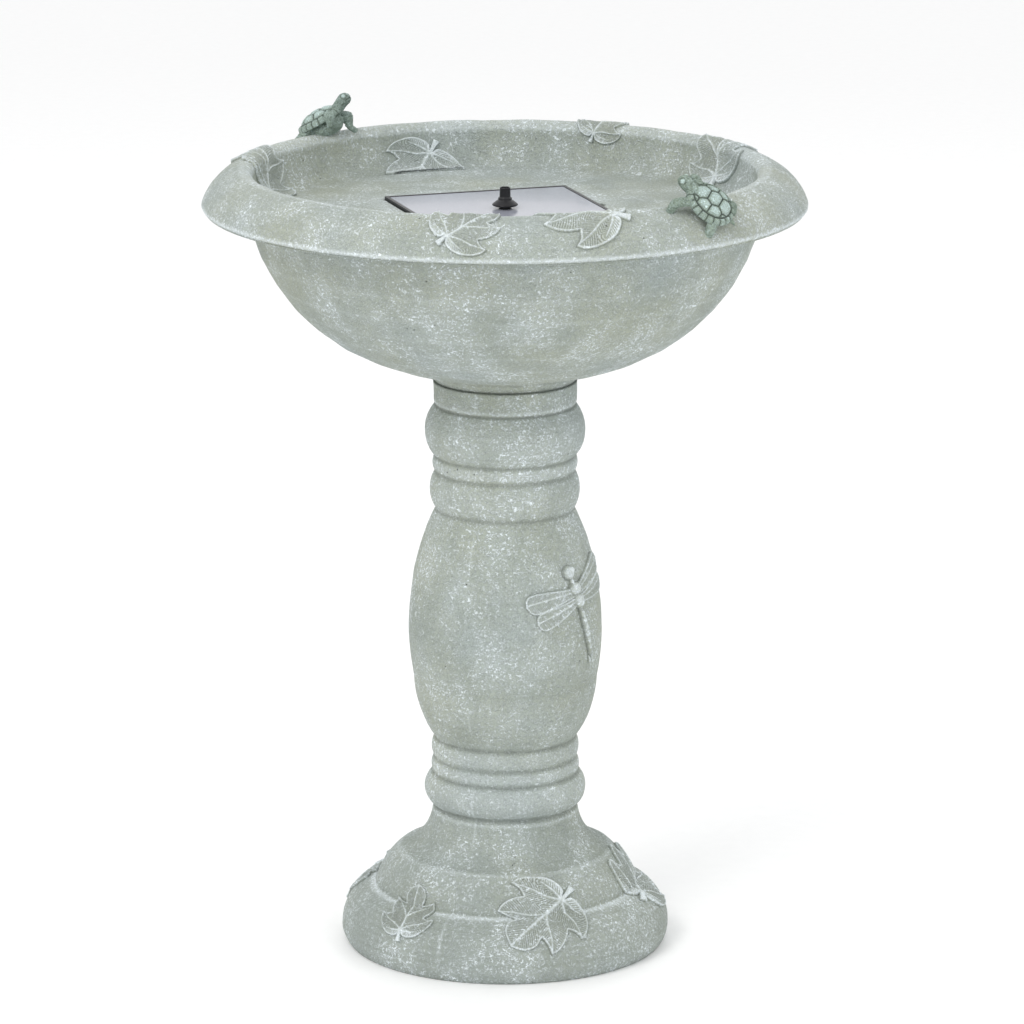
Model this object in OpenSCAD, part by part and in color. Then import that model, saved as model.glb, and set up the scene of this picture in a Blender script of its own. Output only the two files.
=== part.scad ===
// Two-piece garden bird bath with a solar fountain: a cast pedestal, a lift-off bowl and a lift-out pump unit.
// Origin: centre of the pedestal's foot, on the ground. +Z is up and -Y faces the front.

/* [Pedestal] */
// Height of the pedestal, from the ground to the seam under the bowl
pedestal_h = 508.5; // [440:0.5:600]
// Greatest diameter of the rounded base
base_d = 290; // [262:1:330]
// Greatest diameter of the barrel
barrel_d = 168; // [142:1:200]
// Diameter of the narrow neck above the base
neck_d = 128.8; // [122:0.2:140]
// Diameter of the collar under the bowl
collar_d = 126; // [120:1:136]
// Wall of the castings
wall = 8; // [6:0.5:10]

/* [Bowl] */
// Outer diameter over the drooping lip
bowl_d = 525.8; // [480:0.2:600]
// Height from the seam to the crest of the lip
bowl_h = 188.5; // [160:0.5:220]
// Diameter of the crest of the lip
crest_d = 460; // [420:1:500]
// Height of the lip, from its lower edge to its crest
lip_h = 34; // [28:1:40]
// Depth of the dish below the crest
dish_depth = 39; // [30:1:48]
// Diameter of the dish's flat floor
floor_d = 404; // [370:1:430]
// Diameter of the bowl's body under the lip
body_d = 446; // [410:1:470]
// Diameter of the foot at the seam
foot_d = 123; // [118:1:134]
// Diameter of the spigot that locates the bowl in the pedestal
spigot_d = 88; // [72:1:94]
// Depth of the spigot in the pedestal
spigot_h = 14; // [8:1:24]

/* [Solar unit] */
// Side of the square panel
panel_w = 167; // [150:1:190]
// Turn of the panel about the vertical axis
panel_turn = 18.3; // [0:0.1:45]
// Height of the panel's tray
tray_h = 18; // [16:0.5:24]
// Thickness of the cover glass
glass_t = 3; // [2:0.5:4]
// Inner diameter of the pump well
well_d = 124; // [118:1:140]
// Depth of the pump well below the panel's recess
well_h = 63; // [62:1:75]
// Outer diameter of the riser tube
riser_d = 9.4; // [8:0.1:10]
// Diameter of the nozzle's disc
nozzle_d = 22.8; // [18:1:30]
// Height of the nozzle above the glass
nozzle_h = 18.5; // [16:0.5:30]

/* [Ornaments] */
// Relief of the leaves
leaf_t = 2.4; // [1.5:0.1:4]
// Relief of the dragonfly
dragonfly_t = 3.6; // [2:0.1:5]
// Length of a turtle's shell
shell_l = 46; // [38:1:54]

/* [Hidden] */
$fn = 96;

stone = [0.70, 0.74, 0.68];
turtle_green = [0.52, 0.62, 0.53];
black = [0.08, 0.08, 0.09];
steel = [0.72, 0.73, 0.75];

fit = 0.08;       // radial clearance of a tube or shaft in its bore
eps = 0.5;        // how far a cutter passes a face
arc_steps = 8;

// ---- Turned profiles ----
// A station is [radius, height, bulge]: bulge is how far the arc to the next station stands out
// on the right of the way there.
function arc_points(a, b, bulge) =
  abs(bulge) < 0.01 ? [[a[0], a[1]]] :
  let (chord = norm([b[0] - a[0], b[1] - a[1]]),
       along = [b[0] - a[0], b[1] - a[1]] / chord,
       out = [along[1], -along[0]] * sign(bulge),
       s = abs(bulge),
       radius = (chord * chord / 4 + s * s) / (2 * s),
       half = 2 * atan(2 * s / chord),
       centre = [a[0] + b[0], a[1] + b[1]] / 2 + out * (s - radius))
  [for (i = [0:arc_steps - 1]) let (t = half * (2 * i / arc_steps - 1))
    centre + radius * (sin(t) * along + cos(t) * out)];
function turned(st) = concat(
  [for (i = [0:len(st) - 2]) each arc_points(st[i], st[i + 1], st[i][2])],
  [[st[len(st) - 1][0], st[len(st) - 1][1]]]);
function reversed(p) = [for (i = [len(p) - 1:-1:0]) p[i]];

neck_r = neck_d / 2;
base_r = base_d / 2;
barrel_r = barrel_d / 2;
collar_r = collar_d / 2;
// Grooves above and below the barrel lie in the collar's radius
groove_r = collar_r - 2.2;
barrel_low = 187;                     // height of the groove under the barrel
barrel_top = pedestal_h - 114.5;      // height of the groove over the barrel
barrel_mid = barrel_low + 0.5 * (barrel_top - barrel_low);

pedestal_outer = turned([
  [base_r - 5.7, 0, 1.3],
  [base_r, 14, 7.5],
  [base_r - 26, 51.5, 0],
  [base_r - 29.5, 53, 2.8],
  [base_r - 51, 84, -7.5],
  [neck_r, 121, -2.2],
  [neck_r + 1.4, 127.5, 6.2],
  [neck_r + 0.6, 154.5, 0],
  [neck_r, 155.4, 1.7],
  [neck_r - 1.2, 168.4, 0],
  [neck_r - 1.4, 169.2, 2.2],
  [groove_r + 2, barrel_low - 0.8, 0],
  [groove_r + 1.4, barrel_low, 4.4],
  [barrel_r - 3.5, barrel_mid - 49, 3.6],
  [barrel_r - 1.5, barrel_mid + 30, 3.4],
  [groove_r, barrel_top, 0],
  [groove_r + 0.6, barrel_top + 1, 4.6],
  [groove_r + 0.4, barrel_top + 33.5, 0],
  [groove_r + 0.9, barrel_top + 34.5, 1.9],
  [groove_r + 0.9, barrel_top + 48, 0],
  [groove_r + 2, barrel_top + 49, 7.4],
  [collar_r - 0.2, barrel_top + 91.5, 0],
  [collar_r - 2.4, barrel_top + 93, 0],
  [collar_r - 0.6, barrel_top + 95.5, 0],
  [collar_r, pedestal_h, 0]]);

spigot_r = spigot_d / 2;
mouth_r = spigot_r + 1;               // the spigot has 1 mm all round
mouth_h = spigot_h + 3;
pedestal_inner = turned([
  [base_r - 5.7 - wall, 0, 0],
  [base_r - 6 - wall, 14, 5],
  [base_r - 32 - wall, 48, 0],
  [base_r - 58 - wall, 78, -5],
  [neck_r - wall - 3, 116, 0],
  [neck_r - wall - 3, 160, 0],
  [groove_r - wall, barrel_low, 4.2],
  [barrel_r - wall - 5, barrel_mid - 49, 3.2],
  [barrel_r - wall - 3, barrel_mid + 30, 3],
  [groove_r - wall, barrel_top - 3, 0],
  [groove_r - wall, pedestal_h - mouth_h - 10, 0],
  [mouth_r, pedestal_h - mouth_h, 0],
  [mouth_r, pedestal_h, 0]]);

bowl_r = bowl_d / 2;
body_r = body_d / 2;
crest_r = crest_d / 2;
floor_r = floor_d / 2;
foot_r = foot_d / 2;
crest_z = pedestal_h + bowl_h;
floor_z = crest_z - dish_depth;
lip_z = crest_z - lip_h;              // lower edge of the lip
flange_t = 1.6;                       // thickness of the shell's flange at its rim
body_top = lip_z - 6;

// From the lip's lower edge over the crest to the dish's floor
lip_outer = turned([
  [bowl_r - 1.7, lip_z, 0],
  [bowl_r, lip_z + 2.4, 5.6],
  [crest_r, crest_z, 2.2],
  [crest_r - 11.5, crest_z - 6, -1.2],
  [floor_r + 10, floor_z + 9, -2.6],
  [floor_r - 6, floor_z, 0]]);
lip_inner = turned([
  [bowl_r - 1.7 - wall, lip_z, 0],
  [bowl_r - wall, lip_z + 2.4, 5],
  [crest_r, crest_z - wall, 1.5],
  [crest_r - 9, crest_z - wall - 5.5, 0],
  [floor_r + 6, floor_z + 1, 0],
  [floor_r + 1, floor_z - wall, 0]]);
body_outer = turned([
  [foot_r, pedestal_h, 0],
  [foot_r + 0.6, pedestal_h + 2, 0],
  [foot_r + 6, pedestal_h + 8.5, 0],
  [foot_r + 16.5, pedestal_h + 12.5, 27.5],
  [body_r - 3, body_top - 14, 0.8],
  [body_r, body_top, 0]]);

module casting(outer, inner) {
  rotate_extrude() polygon(concat(outer, reversed(inner)));
}

// ---- Ornaments laid on a turned surface ----
// Puts a child's origin on the surface at azimuth az, radius r and height z. The child's +Z is then
// the outward normal, at angle tilt above level, its +X the way round and its +Y up the surface.
module on_surface(az, r, z, tilt, roll) {
  rotate([0, 0, az]) translate([0, -r, z]) rotate([90 - tilt, 0, 0]) rotate([0, 0, roll]) children();
}

// A skin of thickness t over a stretch of a profile, raised along angle tilt
module skin(stretch, tilt, t) {
  lift = [cos(tilt), sin(tilt)] * t;
  rotate_extrude() polygon(concat(stretch, reversed([for (p = stretch) p + lift])));
}

// Half of a five-lobed leaf, its stalk meeting the blade at the origin and its tip at [0, 1]
leaf_half = [
  [0.045, -0.20], [0.022, -0.10], [0.022, -0.03], [0.07, -0.105], [0.18, -0.125], [0.34, -0.09],
  [0.50, 0.04], [0.58, 0.17], [0.59, 0.28], [0.48, 0.265], [0.37, 0.30], [0.435, 0.42],
  [0.465, 0.57], [0.44, 0.70], [0.32, 0.645], [0.20, 0.62], [0.225, 0.77], [0.155, 0.91], [0.006, 1]];
leaf_outline = concat(leaf_half, reversed([for (p = leaf_half) [-p[0], p[1]]]));
leaf_width = 1.22;                    // width of that outline
leaf_middle = 0.36;

module leaf_blank(width) {
  linear_extrude(height = 0.8 * width, center = true) scale(width / leaf_width)
    translate([0, -leaf_middle]) polygon(leaf_outline);
}

function stretch_between(profile, low, high) = [for (p = profile) if (p[1] >= low && p[1] <= high) p];

// [azimuth, radius below the base's, height, tilt, roll, width] of each leaf on the base
base_leaves = [
  [16, 26, 52, 40, 131, 84], [-42, 20, 49, 38, 4, 58], [84, 30, 58, 42, -55, 82],
  [-109, 14, 44, 32, -97, 66], [150, 24, 50, 40, 150, 78], [-156, 24, 50, 40, -40, 64]];
// [azimuth, radius beyond the crest's, height under the crest, tilt, roll, width, side] of each leaf on the lip
rim_leaves = [
  [-7.7, 13, 6.5, 50, -44, 64, "outer"], [17, -4, 1, 88, 64, 88, "over"],
  [120.5, -10, 5, 112, -162, 80, "over"], [157, -1, 0, 90, 156, 52, "over"],
  [-158, -20, 25, 125, -31, 80, "inner"], [-106, -10, 6, 108, 141, 82, "over"]];
// The stretch of the lip that a leaf lies on, and the angle that it is raised along
function lip_stretch(side) =
  side == "outer" ? [for (i = [1:len(lip_outer) - 1]) if (lip_outer[i][0] > crest_r - 8) lip_outer[i]] :
  side == "inner" ? concat([for (p = lip_outer) if (p[0] < crest_r + 1) p], [[floor_r - 50, floor_z]]) :
  [for (i = [1:len(lip_outer) - 1]) lip_outer[i]];
function lip_lift(side) = side == "outer" ? 46 : side == "inner" ? 130 : 100;

module base_leaf(i) {
  leaf = base_leaves[i];
  color(stone) intersection() {
    skin(stretch_between(pedestal_outer, 3, 100), leaf[3], leaf_t);
    on_surface(leaf[0], base_r - leaf[1], leaf[2], leaf[3], leaf[4]) leaf_blank(leaf[5]);
  }
}

module rim_leaf(i) {
  leaf = rim_leaves[i];
  color(stone) intersection() {
    skin(lip_stretch(leaf[6]), lip_lift(leaf[6]), leaf_t);
    on_surface(leaf[0], crest_r + leaf[1], crest_z - leaf[2], leaf[3], leaf[4]) leaf_blank(leaf[5]);
  }
}

// Points of an ellipse of half axes a and b about a centre, turned by an angle
function ellipse_points(centre, a, b, turn) = [for (t = [0:20:340])
  centre + [a * cos(t) * cos(turn) - b * sin(t) * sin(turn), a * cos(t) * sin(turn) + b * sin(t) * cos(turn)]];

module dragonfly_blank() {
  linear_extrude(height = 60, center = true) {
    polygon(ellipse_points([0, 23.5], 6.6, 6.6, 0));
    polygon(ellipse_points([0, 15], 2.4, 5, 0));
    polygon(ellipse_points([0, 3], 5, 11.5, 0));
    polygon(ellipse_points([0, -32], 2.7, 32, 0));
    for (side = [-1, 1]) {
      polygon(ellipse_points([side * 27, 8.2], 24.5, 8, side * 7));
      polygon(ellipse_points([side * 25, -3.4], 22, 7.6, side * -5));
    }
  }
}
module dragonfly() {
  color(stone) intersection() {
    skin(stretch_between(pedestal_outer, barrel_low + 3, barrel_top - 3), 0, dragonfly_t);
    on_surface(49, barrel_r - 2, barrel_mid + 35.5, 0, 16) dragonfly_blank();
  }
}

// Puts a child's origin at a place, its +Y facing one way and its +Z turned as near as can be to another
module facing(place, ahead, up) {
  y = ahead / norm(ahead);
  x = cross(y, up) / norm(cross(y, up));
  z = cross(x, y);
  multmatrix([[x[0], y[0], z[0], place[0]], [x[1], y[1], z[1], place[1]], [x[2], y[2], z[2], place[2]]])
    children();
}

// A turtle that faces +Y. legs holds the two ends of each stretch of leg, and head and belly are places.
module turtle_body(head, belly, legs) {
  k = shell_l / 46;
  scale(k) {
    hull() translate([0, -1, 6.5]) scale([19, 23, 11.5]) sphere(1, $fn = 28);
    hull() translate(belly) scale([14, 19, 7]) sphere(1, $fn = 20);
    hull() { translate(head) sphere(6, $fn = 16); translate([0, 17, 6]) sphere(5.4, $fn = 16); }
    hull() { translate([0, -20, 4]) sphere(2.6, $fn = 12); translate([0, -26, 2]) sphere(1.4, $fn = 12); }
    for (leg = legs) hull() { translate(leg[0]) sphere(4.4, $fn = 12); translate(leg[1]) sphere(3.6, $fn = 12); }
  }
}

// What lies under the lip's top surface, to shape a turtle's feet to it
module under_lip() {
  rotate_extrude($fn = 720) polygon(concat(lip_outer, [[floor_r - 6, lip_z]]));
}

module turtle_left() {
  color(turtle_green) difference() {
    rotate([0, 0, -135]) facing([-2, -crest_r - 1, crest_z + 6.4], [-0.44, 0.75, 0.50], [0.53, -0.11, 0.84])
      turtle_body([0, 27.5, 8], [0, -3, 0], [[[-8, 14, -1], [-8, 23, -10]], [[-8, 23, -10], [-8, 19, -25]],
        [[11, 14, 3], [15, 15, -3]], [[10, -16, 1], [12, -22, 1]], [[-10, -16, 1], [-12, -22, 1]]]);
    under_lip();
  }
}

module turtle_right() {
  color(turtle_green) difference() {
    rotate([0, 0, 43]) facing([0, -crest_r - 17.8, crest_z - 0.8], [-0.57, 0.58, 0.587], [-0.11, -0.76, 0.64])
      turtle_body([0, 28, 8], [0, 0, 4], [[[-12, 18, 3], [-22, 24, -7]], [[12, 16, 3], [20, 22, -8]],
        [[-11, -10, 3], [-20, -14, -9]], [[12, -14, 3], [19, -22, -8]]]);
    under_lip();
  }
}

// ---- Castings ----
module pedestal() {
  color(stone) casting(pedestal_outer, pedestal_inner);
}

module bowl_shell() {
  flange = [[bowl_r - 3, lip_z - flange_t], [bowl_r - 3, lip_z], [body_r - wall, lip_z]];
  inner = turned([
    [spigot_r - wall, pedestal_h - spigot_h, 0],
    [spigot_r - wall, pedestal_h + 12, 0],
    [foot_r + 12, pedestal_h + 12 + wall, 26],
    [body_r - 3 - wall, body_top - 14, 0.8],
    [body_r - wall, lip_z, 0]]);
  spigot = [[spigot_r, pedestal_h - spigot_h], [spigot_r, pedestal_h]];
  color(stone) rotate_extrude() polygon(concat(spigot, body_outer, flange, reversed(inner)));
}

recess_w = panel_w + 1.4;
tray_z = floor_z + 2.4 - tray_h;      // underside of the tray, on the recess's floor
glass_top = floor_z + 2;
well_r = well_d / 2;
well_z = tray_z - well_h;             // floor of the well
notch_r = 7.5;

module unit_frame() { rotate([0, 0, panel_turn]) children(); }
module square_prism(side, low, high) {
  translate([-side / 2, -side / 2, low]) cube([side, side, high - low]);
}
module drum(r, low, high) { translate([0, 0, low]) cylinder(r = r, h = high - low); }

module basin() {
  dish = concat(lip_outer, [[0, floor_z], [0, floor_z - wall]], reversed(lip_inner));
  color(stone) difference() {
    union() {
      rotate_extrude() polygon(dish);
      unit_frame() square_prism(recess_w + 2 * wall, tray_z - wall, floor_z - wall / 2);
      drum(well_r + wall, well_z - wall, tray_z);
    }
    unit_frame() {
      square_prism(recess_w, tray_z, floor_z + eps);
      for (side = [-1, 1]) translate([side * recess_w / 2, 0, floor_z - 7]) cylinder(r = notch_r, h = 7 + eps);
    }
    drum(well_r, well_z, tray_z + eps);
  }
}

// ---- Solar panel ----
tray_wall = 3;
tray_floor = 2.4;
board_t = 2;
cell_t = 0.6;
glass_w = panel_w - 2 * tray_wall - 0.6;
glass_z = glass_top - glass_t;
cell_z = glass_z - cell_t;
board_z = cell_z - board_t;
boss_r = 8.5;                         // boss that the riser passes through
passage_r = riser_d / 2 + 0.5;
flange_w = 26;
flange_bolt = 9.5;

module panel_tray() {
  color(black) unit_frame() difference() {
    union() {
      difference() {
        square_prism(panel_w, tray_z, tray_z + tray_h);
        square_prism(glass_w + 0.6, board_z, tray_z + tray_h + eps);
        square_prism(glass_w - 6, tray_z + tray_floor, board_z + eps);
      }
      drum(boss_r, tray_z + 1, board_z);
      for (x = [-1, 1], y = [-1, 1]) translate([x * flange_bolt, y * flange_bolt, 0]) drum(3, tray_z + 1, tray_z + 8);
      for (side = [-1, 1]) {
        translate([side * panel_w / 4, 0, 0])
          translate([-1, -glass_w / 2 + 2, tray_z + 1]) cube([2, glass_w - 4, board_z - tray_z - 1]);
      }
    }
    drum(passage_r, tray_z - eps, board_z + eps);
    for (x = [-1, 1], y = [-1, 1]) translate([x * flange_bolt, y * flange_bolt, 0]) drum(1.2, tray_z - eps, tray_z + 7);
  }
}

module backing_board() {
  color([0.15, 0.3, 0.2]) unit_frame() difference() {
    square_prism(glass_w, board_z, board_z + board_t);
    drum(passage_r, board_z - eps, board_z + board_t + eps);
  }
}

cell_gap = 2;
cell_rows = 6;
module solar_cells() {
  middle = 2 * boss_r + 2;            // clear strip over the boss
  length = (glass_w - middle) / 2 - 3;
  pitch = (glass_w - 6) / cell_rows;
  color([0.12, 0.13, 0.3]) unit_frame() for (side = [-1, 1], row = [0:cell_rows - 1])
    translate([side > 0 ? middle / 2 : -middle / 2 - length, -glass_w / 2 + 3 + row * pitch + cell_gap / 2, cell_z])
      cube([length, pitch - cell_gap, cell_t]);
}

module cover_glass() {
  color([0.75, 0.76, 0.82]) unit_frame() difference() {
    square_prism(glass_w, glass_z, glass_top);
    drum(passage_r + 0.5, glass_z - eps, glass_top + eps);
  }
}

box_low = tray_z - 12;
module junction_box() {
  color(black) unit_frame() difference() {
    translate([17, -12, box_low]) cube([31, 24, 12]);
    translate([19, -10, box_low + 2]) cube([27, 20, 10 - 2]);
    translate([24, -12 - eps, box_low + 6]) rotate([-90, 0, 0]) cylinder(r = 2.5, h = 3);
  }
}

module cable_gland() {
  color(black) unit_frame() translate([24, -12, box_low + 6]) rotate([90, 0, 0]) rotate_extrude()
    polygon([[1.5, -1.9], [2.4, -1.9], [2.4, 0], [4.6, 0], [4.6, 4], [3.4, 4.6], [2.8, 9], [1.5, 9]]);
}

// ---- Pump: its shaft lies level, along the unit's X axis ----
shaft_y = -12;                        // the outlet is tangent to the volute, so the shaft stands off it
shaft_z = tray_z - 36.5;
volute_r = 23;
chamber_r = 17;
can_r = 17;
shaft_r = 1.2;
magnet_r = 7;
impeller_r = 15;
face_x = -9;                          // open face of the volute
can_end = 44;
rotor_end = 31;
cover_t = 3.5;
screw_circle = volute_r - 1.6;
seal_mid = chamber_r + 1.3;
outlet_r = riser_d / 2 + fit;
outlet_wall = 2.7;
outlet_step = shaft_z + volute_r + 2; // the riser stands here, in the outlet

module along_shaft() {
  unit_frame() translate([0, shaft_y, shaft_z]) rotate([0, 90, 0]) children();
}
module bar(r, low, high) { translate([0, 0, low]) cylinder(r = r, h = high - low); }
module ring(outer, inner, low, high) {
  difference() { bar(outer, low, high); bar(inner, low - eps, high + eps); }
}
module round_pattern(count, r, turn = 0) {
  for (i = [0:count - 1]) rotate([0, 0, turn + 360 * i / count]) translate([r, 0, 0]) children();
}

module pump_housing() {
  color(black) difference() {
    union() {
      along_shaft() { bar(volute_r, face_x, 9); bar(can_r, 8, can_end); }
      unit_frame() {
        drum(outlet_r + outlet_wall, shaft_z, tray_z - 1);
        square_prism(flange_w, tray_z - 3, tray_z);
      }
    }
    along_shaft() {
      bar(chamber_r, face_x - eps, 5.5);
      bar(magnet_r + 0.6, 4, rotor_end - 4);
      bar(2.6, rotor_end - 5, rotor_end - 1.5);
      ring(can_r - 1.5, magnet_r + 2.2, 12, can_end + eps);
      bar(can_r - 1.5, can_end - 3, can_end + eps);
      round_pattern(4, screw_circle, 45) bar(0.9, face_x - eps, face_x + 6);
    }
    unit_frame() {
      drum(outlet_r - 1, shaft_z, outlet_step + eps);
      drum(outlet_r, outlet_step, tray_z + eps);
      for (x = [-1, 1], y = [-1, 1]) translate([x * flange_bolt, y * flange_bolt, 0])
        drum(1.5, tray_z - 3 - eps, tray_z + eps);
    }
  }
}

module flange_screws() {
  color(steel) unit_frame() for (x = [-1, 1], y = [-1, 1]) translate([x * flange_bolt, y * flange_bolt, 0]) {
    drum(2.4, tray_z - 4.8, tray_z - 3);
    drum(1.15, tray_z - 3.5, tray_z + 6);
  }
}

module motor_stator() {
  color([0.72, 0.42, 0.22]) along_shaft() difference() {
    ring(can_r - 1.6, magnet_r + 2.3, 12, can_end - 4);
    round_pattern(6, magnet_r + 4.6) bar(1.1, 12 - eps, can_end);
  }
}

module motor_cap() {
  color(black) along_shaft() bar(can_r - 1.6, can_end - 3, can_end);
}

module shaft_bushes() {
  color([0.9, 0.9, 0.86]) along_shaft() {
    ring(2.5, shaft_r + 0.02, rotor_end - 4.5, rotor_end - 1.5);
    ring(2.5, shaft_r + 0.02, face_x - 1.5, face_x + 1.5);
  }
}

module impeller_shaft() {
  color(steel) along_shaft() bar(shaft_r, face_x - 1.2, rotor_end - 1.5);
}

module volute_cover() {
  inlet_r = 7.5;
  color(black) along_shaft() difference() {
    union() {
      difference() {
        bar(volute_r, face_x - cover_t, face_x);
        bar(inlet_r, face_x - cover_t - eps, face_x + eps);
      }
      bar(3.6, face_x - cover_t, face_x);
      for (i = [0:2]) rotate([0, 0, 120 * i]) translate([2.8, -0.8, face_x - cover_t]) cube([inlet_r - 2, 1.6, 2]);
    }
    bar(2.55, face_x - 1.55, face_x + eps);
    ring(seal_mid + 0.9, seal_mid - 0.9, face_x - 1.6, face_x + eps);
    round_pattern(4, screw_circle, 45) bar(1, face_x - cover_t - eps, face_x + eps);
  }
}

module seal_ring() {
  color([0.1, 0.1, 0.1]) along_shaft() translate([0, 0, face_x - 0.8]) rotate_extrude()
    translate([seal_mid, 0]) circle(r = 0.78, $fn = 24);
}

module cover_screws() {
  color(steel) along_shaft() round_pattern(4, screw_circle, 45) {
    bar(1.7, face_x - cover_t - 1.3, face_x - cover_t);
    bar(0.85, face_x - cover_t - 0.5, face_x + 5);
  }
}

cage_low = -34;
cage_high = min(face_x + 1.5, -outlet_r - outlet_wall - 0.02); // clear of the outlet
cage_r = volute_r + 0.4;
cage_wall = 1.8;
module strainer_cage() {
  color(black) along_shaft() difference() {
    bar(cage_r + cage_wall, cage_low, cage_high);
    bar(cage_r, cage_low + 2, cage_high + eps);
    round_pattern(16, cage_r) translate([-2, -1.5, cage_low + 5]) cube([5, 3, 14]);
    for (x = [-15:6:15]) translate([-16, x - 1.2, cage_low - eps]) cube([32, 2.4, 2 + 2 * eps]);
  }
}

module filter_foam() {
  color([0.2, 0.2, 0.22]) along_shaft() bar(cage_r - 0.5, cage_low + 2, face_x - cover_t - 2);
}

module impeller() {
  color([0.85, 0.85, 0.82]) along_shaft() difference() {
    union() {
      bar(impeller_r, 3.2, 4.6);
      bar(3, face_x + 2.5, rotor_end - 5.5);
      for (i = [0:5]) rotate([0, 0, 60 * i]) translate([2.5, -0.6, -4]) cube([impeller_r - 3.5, 1.2, 7.6]);
    }
    bar(shaft_r + fit, -20, rotor_end);
  }
}

module rotor_magnet() {
  color([0.25, 0.25, 0.27]) along_shaft() ring(magnet_r, 3.05, 4.6, rotor_end - 5.5);
}

// ---- Riser and nozzle ----
riser_top = glass_top + 7.5;
nozzle_z = glass_top + 1.3;
nozzle_top = glass_top + nozzle_h;
riser_bore = 3.4;

module riser_tube() {
  color(black) unit_frame() difference() {
    drum(riser_d / 2, outlet_step, riser_top);
    drum(riser_bore, outlet_step - eps, riser_top + eps);
  }
}

module nozzle_head() {
  tip_r = 4.6;
  disc_r = nozzle_d / 2;
  collar = outlet_r + 1.15;
  outer = turned([
    [outlet_r + 1.2, nozzle_z, 0],
    [disc_r - 0.5, nozzle_top - 15.9, 0.3],
    [disc_r - 0.5, nozzle_top - 14.5, 0],
    [collar + 0.9, nozzle_top - 11.3, 0],
    [collar, nozzle_top - 11, 0],
    [collar, nozzle_top - 9, 0],
    [tip_r + 0.2, nozzle_top - 8.6, 0],
    [tip_r, nozzle_top, 0]]);
  bore = [[3.7, nozzle_top], [3.7, nozzle_top - 3.5], [3, nozzle_top - 3.5], [3, riser_top],
          [outlet_r, riser_top], [outlet_r, nozzle_z]];
  color(black) rotate_extrude() polygon(concat(outer, bore));
}

module nozzle_insert() {
  color(black) difference() {
    drum(3.65, nozzle_top - 3.5, nozzle_top - 1.2);
    round_pattern(5, 2) drum(0.5, nozzle_top - 4, nozzle_top);
  }
}

pedestal();
dragonfly();
for (i = [1:6]) base_leaf(i - 1);
bowl_shell();
basin();
turtle_left();
turtle_right();
for (i = [1:6]) rim_leaf(i - 1);
panel_tray();
backing_board();
solar_cells();
cover_glass();
junction_box();
cable_gland();
pump_housing();
flange_screws();
motor_stator();
motor_cap();
shaft_bushes();
impeller_shaft();
volute_cover();
seal_ring();
cover_screws();
strainer_cage();
filter_foam();
impeller();
rotor_magnet();
riser_tube();
nozzle_head();
nozzle_insert();
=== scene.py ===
"""Looks of the bird bath: weathered cast stone, leaves, dragonfly, turtles, solar panel and nozzle."""
import math
from collections import defaultdict

import bmesh
import bpy
import numpy as np
from mathutils import Matrix, Vector, noise


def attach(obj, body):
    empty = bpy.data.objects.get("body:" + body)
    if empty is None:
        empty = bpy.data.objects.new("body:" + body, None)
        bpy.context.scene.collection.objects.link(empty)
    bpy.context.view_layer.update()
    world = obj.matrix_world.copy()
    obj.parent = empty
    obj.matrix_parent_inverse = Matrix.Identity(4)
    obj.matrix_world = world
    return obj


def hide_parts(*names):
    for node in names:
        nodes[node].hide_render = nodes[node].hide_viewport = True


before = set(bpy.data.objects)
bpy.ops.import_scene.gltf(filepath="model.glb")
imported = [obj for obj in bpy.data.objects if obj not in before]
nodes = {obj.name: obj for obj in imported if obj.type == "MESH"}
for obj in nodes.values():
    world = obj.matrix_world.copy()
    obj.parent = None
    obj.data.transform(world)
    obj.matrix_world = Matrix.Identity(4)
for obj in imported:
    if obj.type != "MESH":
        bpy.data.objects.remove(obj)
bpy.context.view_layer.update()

MM = 0.001
PANEL_TURN = math.radians(18.3)
PANEL_SIDE = 167 * MM


# ---------------------------------------------------------------- camera, light and floor

def studio():
    """The photograph's long lens from a little above, over a pale floor under soft light."""
    level = 90
    looking_down = 13.64
    camera = bpy.data.cameras.new("camera")
    camera.lens = 206.4
    camera.sensor_width = 36.0
    camera.shift_y = -0.0236
    camera.clip_end = 50.0
    eye = bpy.data.objects.new("camera", camera)
    eye.location = (0.006, -5.0, 1.624)
    eye.rotation_euler = (math.radians(level - looking_down), 0, 0)
    bpy.context.scene.collection.objects.link(eye)
    bpy.context.scene.camera = eye

    def lamp(name, place, target, size, power, colour):
        data = bpy.data.lights.new(name, "AREA")
        data.size = size
        data.energy = power
        data.color = colour
        light = bpy.data.objects.new(name, data)
        light.location = place
        light.rotation_euler = (Vector(target) - Vector(place)).to_track_quat("-Z", "Y").to_euler()
        bpy.context.scene.collection.objects.link(light)

    lamp("key", (-1.6, -2.2, 3.0), (0, 0, 0.5), 1.4, 44, (1.0, 0.985, 0.965))
    lamp("fill", (2.2, -2.6, 0.9), (0, 0, 0.5), 2.0, 17, (0.95, 0.98, 1.0))
    lamp("back", (0.4, 2.6, 2.6), (0, 0, 0.6), 1.8, 12, (1.0, 1.0, 1.0))

    world = bpy.data.worlds.new("studio")
    bpy.context.scene.world = world
    world.use_nodes = True
    sky = world.node_tree.nodes["Background"]
    sky.inputs["Color"].default_value = (1.0, 1.0, 1.0, 1)
    sky.inputs["Strength"].default_value = 1.0
    bpy.context.scene.view_settings.view_transform = "Standard"

    bpy.ops.mesh.primitive_plane_add(size=30, location=(0, 0, 0))
    floor = bpy.context.object
    floor.name = "floor"
    g = Graph("studio_floor")
    grain = g.noise(g.place(), 60, detail=3)
    tone = g.ramp(grain, [(0.3, (0.93, 0.933, 0.935)), (0.7, (0.95, 0.952, 0.953))])
    g.surface(tone, roughness=0.7)
    floor.data.materials.append(g.material)


# ---------------------------------------------------------------- materials

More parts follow.
